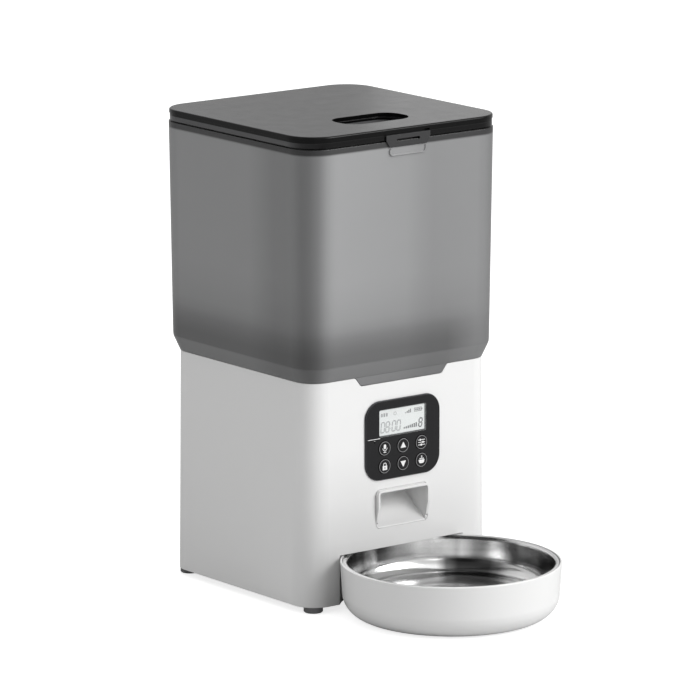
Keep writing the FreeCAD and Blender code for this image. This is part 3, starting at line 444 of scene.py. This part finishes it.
# painted highlight: the panel's chamfered front edge is made 5.5 times lighter, as if catching the light
multiply_base(M["panel_black"], lambda n, l, xyz: ramp_on(n, l, xyz["Y"], [(-0.02069, 1.0), (-0.02062, 5.5), (-0.02020, 5.5), (-0.02010, 1.0)]))
M["window_clear"] = principled("window_clear", (0.85, 0.88, 0.88), 0.05, var=0.01, rvar=0.01, alpha=0.12)
M["lcd_glass"] = principled("lcd_glass", (0.70, 0.715, 0.71), 0.35, var=0.02, scale=60, emit=0.12)
M["key_black"] = principled("key_black", (0.008, 0.008, 0.009), 0.26, var=0.05, edge=0.0003, spec=0.3)
M["keypad_silicone"] = principled("keypad_silicone", (0.30, 0.31, 0.32), 0.6)
M["circuit_board"] = principled("circuit_board", (0.02, 0.16, 0.07), 0.35, var=0.15, scale=300, rvar=0.1, bump=0.2, bscale=600)
M["cable_grey"] = principled("cable_grey", (0.45, 0.46, 0.47), 0.5, var=0.05, scale=200)
M["inner_plastic"] = principled("inner_plastic", (0.66, 0.66, 0.65), 0.4, var=0.03, edge=0.0004, bump=0.05)
M["gear_acetal"] = principled("gear_acetal", (0.78, 0.76, 0.70), 0.35, var=0.03, edge=0.0002)
M["blade_silicone"] = principled("blade_silicone", (0.22, 0.23, 0.24), 0.55, var=0.06, bump=0.1)
M["plain_steel"] = principled("plain_steel", (0.55, 0.55, 0.55), 0.28, metal=1.0, var=0.06, rvar=0.08, scale=200)
M["motor_steel"] = principled("motor_steel", (0.50, 0.50, 0.51), 0.32, metal=1.0, var=0.06, rvar=0.08, scale=150)
M["cell_jacket"] = principled("cell_jacket", (0.05, 0.055, 0.065), 0.3, metal=0.4, var=0.06)
M["contact_metal"] = principled("contact_metal", (0.72, 0.66, 0.48), 0.3, metal=1.0, var=0.06)
M["bush_brass"] = principled("bush_brass", (0.66, 0.50, 0.22), 0.4, metal=1.0, var=0.1, scale=300, bump=0.2)
M["cone_paper"] = principled("cone_paper", (0.03, 0.03, 0.03), 0.8, var=0.2, scale=300, bump=0.3, bscale=1200)

slot_of = {s["node"]: s["material_slot"] for s in frame["record"]["subparts"]}
for name, ob in frame["nodes"].items():
    ob.data.materials.clear()
    ob.data.materials.append(M[slot_of[name]])
    for poly in ob.data.polygons:
        poly.use_smooth = True

# ---------------------------------------------------------------- small drawn and moulded details
M["print_white"] = principled("print_white", (0.82, 0.82, 0.82), 0.45, var=0.04, scale=900)
M["ring_grey"] = principled("ring_grey", (0.30, 0.30, 0.305), 0.40, var=0.05, scale=900)
M["lcd_dark"] = principled("lcd_dark", (0.045, 0.045, 0.05), 0.5, var=0.10, scale=900)
M["lcd_faint"] = principled("lcd_faint", (0.27, 0.275, 0.28), 0.5, var=0.06, scale=900)


def flat_piece(name, shapes, y, t, body, mat):
    """Thin raised pieces on the front face: outlines in millimetres (x, z), front face at y, thickness t."""
    bm = bmesh.new()
    for pts in shapes:
        area2 = sum(pts[i][0] * pts[(i + 1) % len(pts)][1] - pts[(i + 1) % len(pts)][0] * pts[i][1] for i in range(len(pts)))
        if area2 < 0:
            pts = pts[::-1]
        k = len(pts)
        f = [bm.verts.new((x * MM, y * MM, z * MM)) for x, z in pts]
        b = [bm.verts.new((x * MM, (y + t) * MM, z * MM)) for x, z in pts]
        bm.faces.new(f)
        bm.faces.new(b[::-1])
        for i in range(k):
            j = (i + 1) % k
            bm.faces.new((f[j], f[i], b[i], b[j]))
    bmesh.ops.triangulate(bm, faces=[f for f in bm.faces if len(f.verts) > 4])
    me = bpy.data.meshes.new(name)
    bm.to_mesh(me); bm.free()
    me.materials.append(M[mat])
    ob = bpy.data.objects.new(name, me)
    scene.collection.objects.link(ob)
    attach(ob, body)
    return ob


def ring_shapes(cx, cz, r0, r1, a0=0.0, a1=360.0, n=64):
    """An arc band as a row of quads, r0 inside and r1 outside."""
    out = []
    for k in range(n):
        t0, t1 = (math.radians(a0 + (a1 - a0) * (k + e) / n) for e in (0, 1))
        out.append([(cx + r0 * math.cos(t0), cz + r0 * math.sin(t0)), (cx + r1 * math.cos(t0), cz + r1 * math.sin(t0)),
                    (cx + r1 * math.cos(t1), cz + r1 * math.sin(t1)), (cx + r0 * math.cos(t1), cz + r0 * math.sin(t1))])
    return out


def ring_piece(name, cx, cz, r0, r1, y, t, body, mat, n=72):
    bm = bmesh.new()
    rows = []
    for k in range(n):
        a = 2 * math.pi * k / n
        c, s_ = math.cos(a), math.sin(a)
        rows.append([bm.verts.new(((cx + r * c) * MM, yy * MM, (cz + r * s_) * MM)) for r, yy in ((r0, y + t), (r0 + 0.06, y), (r1 - 0.06, y), (r1, y + t))])
    for k in range(n):
        a, b = rows[k], rows[(k + 1) % n]
        for i in range(4):
            j = (i + 1) % 4
            bm.faces.new((a[i], a[j], b[j], b[i]))
    bmesh.ops.recalc_face_normals(bm, faces=bm.faces)
    me = bpy.data.meshes.new(name)
    bm.to_mesh(me); bm.free()
    for poly in me.polygons:
        poly.use_smooth = False
    me.materials.append(M[mat])
    ob = bpy.data.objects.new(name, me)
    scene.collection.objects.link(ob)
    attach(ob, body)
    return ob


def rrect(x0, x1, z0, z1, r, n=5):
    out = []
    for cx, cz, a in ((x1 - r, z1 - r, 0), (x0 + r, z1 - r, 90), (x0 + r, z0 + r, 180), (x1 - r, z0 + r, 270)):
        for k in range(n + 1):
            t = math.radians(a + 90 * k / n)
            out.append((cx + r * math.cos(t), cz + r * math.sin(t)))
    return out


KX, KZ = (-17.45, 0.0, 17.45), (118.2, 104.6)
Y_KEY = -21.2


def icon_mic(x, z):
    return [rrect(x - 1.15, x + 1.15, z - 0.5, z + 3.1, 1.1)] + ring_shapes(x, z + 0.3, 1.75, 2.25, 180, 360, 14) + [rrect(x - 0.25, x + 0.25, z - 2.7, z - 1.6, 0.1), rrect(x - 1.3, x + 1.3, z - 3.2, z - 2.65, 0.2)]


def icon_tri(x, z, s):
    return [[(x - 2.6, z - 1.7 * s), (x + 2.6, z - 1.7 * s), (x + 0.25, z + 2.5 * s), (x - 0.25, z + 2.5 * s)]]


def icon_sliders(x, z):
    out = []
    for dz, kx in ((1.9, -1.2), (0.0, 1.3), (-1.9, -0.3)):
        out.append(rrect(x - 3.2, x + kx - 0.95, z + dz - 0.25, z + dz + 0.25, 0.1))
        out.append(rrect(x + kx + 0.95, x + 3.2, z + dz - 0.25, z + dz + 0.25, 0.1))
        out.append(rrect(x + kx - 0.75, x + kx + 0.75, z + dz - 0.75, z + dz + 0.75, 0.35))
    return out


def icon_lock(x, z):
    body = [rrect(x - 2.1, x - 0.42, z - 2.9, z + 0.4, 0.35), rrect(x + 0.42, x + 2.1, z - 2.9, z + 0.4, 0.35), rrect(x - 0.42, x + 0.42, z - 2.9, z - 1.9, 0.05), rrect(x - 0.42, x + 0.42, z - 0.6, z + 0.4, 0.05)]
    return body + ring_shapes(x, z + 1.1, 1.05, 1.6, 0, 180, 14) + [rrect(x - 1.6, x - 1.05, z + 0.4, z + 1.1, 0.02), rrect(x + 1.05, x + 1.6, z + 0.4, z + 1.1, 0.02)]


def icon_scoop(x, z):
    return [[(x - 2.9, z + 0.2), (x - 2.3, z - 1.7), (x - 1.5, z - 2.5), (x + 1.5, z - 2.5), (x + 2.3, z - 1.7), (x + 2.9, z + 0.2)]] + \
        [rrect(x + a - 0.6, x + a + 0.6, z + b - 0.5, z + b + 0.5, 0.42) for a, b in ((-1.3, 1.0), (0.15, 1.3), (1.5, 0.95), (0.1, 2.75))]


ICONS = (("record", 0, 0, icon_mic), ("up", 1, 0, lambda x, z: icon_tri(x, z, 1)), ("set", 2, 0, icon_sliders),
         ("lock", 0, 1, icon_lock), ("down", 1, 1, lambda x, z: icon_tri(x, z, -1)), ("feed", 2, 1, icon_scoop))
for kn, i, j, shape in ICONS:
    x, z = KX[i], KZ[j]
    flat_piece("icon_" + kn, shape(x, z), Y_KEY - 0.06, 0.09, "key_" + kn, "print_white")
    ring_piece("key_ring_" + kn, x, z, 4.80, 5.20, Y_KEY - 0.05, 0.10, "key_" + kn, "ring_grey")

# microphone mark: a short line above the pin hole
flat_piece("mic_mark", [rrect(-33.2, -21.6, 126.0, 126.45, 0.2), rrect(-27.0, -26.5, 124.5, 125.0, 0.2)], -20.76, 0.09, "base", "print_white")

# display figures between the window and the display face
SEG = {"0": "abcdef", "8": "abcdefg"}


def digit(ch, x, z, w, h, t, lean=0.10):
    def bar(p, q):
        dx, dz = q[0] - p[0], q[1] - p[1]
        d = math.hypot(dx, dz)
        ux, uz = dx / d, dz / d
        g = 0.10
        p = (p[0] + ux * g, p[1] + uz * g); q = (q[0] - ux * g, q[1] - uz * g)
        nx, nz = -uz * t / 2, ux * t / 2
        k = t / 2
        return [p, (p[0] + ux * k + nx, p[1] + uz * k + nz), (q[0] - ux * k + nx, q[1] - uz * k + nz), q, (q[0] - ux * k - nx, q[1] - uz * k - nz), (p[0] + ux * k - nx, p[1] + uz * k - nz)]
    pt = {"tl": (0, h), "tr": (w, h), "ml": (0, h / 2), "mr": (w, h / 2), "bl": (0, 0), "br": (w, 0)}
    seg = {"a": ("tl", "tr"), "b": ("tr", "mr"), "c": ("mr", "br"), "d": ("bl", "br"), "e": ("ml", "bl"), "f": ("tl", "ml"), "g": ("ml", "mr")}
    out = []
    for k in SEG[ch]:
        a, b = seg[k]
        out.append([(x + px + lean * pz, z + pz) for px, pz in bar(pt[a], pt[b])])
    return out


Y_LCD = -19.56
clock = []
for ch, x in (("0", -20.1), ("8", -15.6), ("0", -9.6), ("0", -5.1)):
    clock += digit(ch, x, 130.0, 3.1, 7.6, 0.80)
clock += [rrect(-11.35, -10.65, 132.0, 132.7, 0.25), rrect(-11.05, -10.35, 135.1, 135.8, 0.25)]
flat_piece("lcd_clock", clock, Y_LCD, 0.04, "base", "lcd_faint")
flat_piece("lcd_count", digit("8", 15.9, 130.0, 2.9, 6.4, 1.05), Y_LCD, 0.04, "base", "lcd_dark")
flat_piece("lcd_level", [rrect(1.6 + 1.9 * k, 2.9 + 1.9 * k, 130.3, 131.5 + 0.36 * k, 0.15) for k in range(7)], Y_LCD, 0.04, "base", "lcd_dark")
status = [rrect(11.6, 12.1, 142.0, 144.9, 0.1), rrect(18.3, 18.8, 142.0, 144.9, 0.1), rrect(12.1, 18.3, 142.0, 142.4, 0.1), rrect(12.1, 18.3, 144.5, 144.9, 0.1), rrect(18.9, 19.5, 142.9, 144.0, 0.15)]
status += [rrect(12.7 + 1.8 * k, 14.0 + 1.8 * k, 142.8, 144.1, 0.15) for k in range(3)]
status += [rrect(3.0 + 1.5 * k, 4.0 + 1.5 * k, 141.9, 142.6 + 0.75 * k, 0.1) for k in range(4)]
flat_piece("lcd_status", status, Y_LCD, 0.04, "base", "lcd_dark")
flat_piece("lcd_faint_marks", [rrect(-19.8 + 2.3 * k, -18.2 + 2.3 * k, 141.9, 144.6, 0.3) for k in range(3)] + ring_shapes(-6.6, 143.2, 1.0, 1.4, 0, 360, 24), Y_LCD, 0.04, "base", "lcd_faint")

# moulded arrow on the battery cover
def arrow_piece():
    bm = bmesh.new()
    pts = [(-2.4, 99.0), (-2.4, 106.0), (-5.0, 106.0), (0.0, 112.0), (5.0, 106.0), (2.4, 106.0), (2.4, 99.0)]
    pts = [(x, 2 * 105.5 - y) for x, y in pts]
    top = [bm.verts.new((x * MM, y * MM, 4.62 * MM)) for x, y in pts]
    cx, cy = 0.0, 105.5
    bot = [bm.verts.new(((cx + (x - cx) * 0.93) * MM, (cy + (y - cy) * 0.95) * MM, 4.30 * MM)) for x, y in pts]
    bm.faces.new(top); bm.faces.new(bot[::-1])
    for i in range(len(pts)):
        j = (i + 1) % len(pts)
        bm.faces.new((top[j], top[i], bot[i], bot[j]))
    bmesh.ops.recalc_face_normals(bm, faces=bm.faces)
    me = bpy.data.meshes.new("door_arrow")
    bm.to_mesh(me); bm.free()
    me.materials.append(M["casing_white"])
    ob = bpy.data.objects.new("door_arrow", me)
    scene.collection.objects.link(ob)
    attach(ob, "battery_door")


arrow_piece()


# desiccant bag: a filled paper pillow with two flat crimped ends
def desiccant():
    lo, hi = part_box("desiccant_bag")
    cx, cy, cz = ((a + b) / 2 for a, b in zip(lo, hi))
    hx, hy, hz = ((b - a) / 2 for a, b in zip(lo, hi))
    hx, hy, hz = hx * 0.985, hy * 0.985, hz * 0.94
    nu, nv = 72, 48
    bm = bmesh.new()
    sides = []
    for sgn in (1, -1):
        grid = []
        for i in range(nu + 1):
            u = -1 + 2 * i / nu
            row = []
            for j in range(nv + 1):
                v = -1 + 2 * j / nv
                seam = 0.90
                au = min(1.0, abs(u) / seam)
                fat = (max(0.0, 1 - au ** 2.6) ** 0.62) * (max(0.0, 1 - abs(v) ** 3.2) ** 0.60)
                pull = 1 - 0.045 * (1 - abs(v) ** 2) * 0 - 0.05 * (1 - u * u)
                wr = 0.018 * math.sin(9 * v + 3 * u) * math.sin(7 * u) * fat + 0.012 * math.sin(23 * v * u + 4 * v) * fat
                crimp = 0.012 * math.sin(60 * u) if abs(u) > seam else 0.0
                z = sgn * hz * max(0.03, min(1.0, fat + wr)) + hz * crimp
                y = hy * v * (pull if abs(u) < seam else pull)
                row.append(bm.verts.new((cx + hx * u, cy + y, cz + z)))
            grid.append(row)
        for i in range(nu):
            for j in range(nv):
                q = (grid[i][j], grid[i + 1][j], grid[i + 1][j + 1], grid[i][j + 1])
                bm.faces.new(q if sgn > 0 else q[::-1])
        sides.append(grid)
    a, b = sides
    loop = [(i, 0) for i in range(nu)] + [(nu, j) for j in range(nv)] + [(i, nv) for i in range(nu, 0, -1)] + [(0, j) for j in range(nv, 0, -1)]
    for k in range(len(loop)):
        (i0, j0), (i1, j1) = loop[k], loop[(k + 1) % len(loop)]
        bm.faces.new((a[i1][j1], a[i0][j0], b[i0][j0], b[i1][j1]))
    bmesh.ops.recalc_face_normals(bm, faces=bm.faces)
    me = bpy.data.meshes.new("desiccant_pillow")
    bm.to_mesh(me); bm.free()
    for poly in me.polygons:
        poly.use_smooth = True
    me.materials.append(M["desiccant_paper"])
    ob = bpy.data.objects.new("desiccant_pillow", me)
    scene.collection.objects.link(ob)
    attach(ob, "lid")
    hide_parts("desiccant_bag")


desiccant()

make_camera()
make_world()
make_floor()
sun("key", (0.56, -0.80, 0.46), 1.19, 44)
area("front_box", (0.38, -0.80, 0.72), (0.0, -0.02, 0.24), 0.45, 3.4)
area("rear_card", (0.84, 0.75, 0.56), (0.0, 0.05, 0.36), 0.42, 0.20)

scene.view_settings.view_transform = "Standard"
scene.view_settings.look = "None"
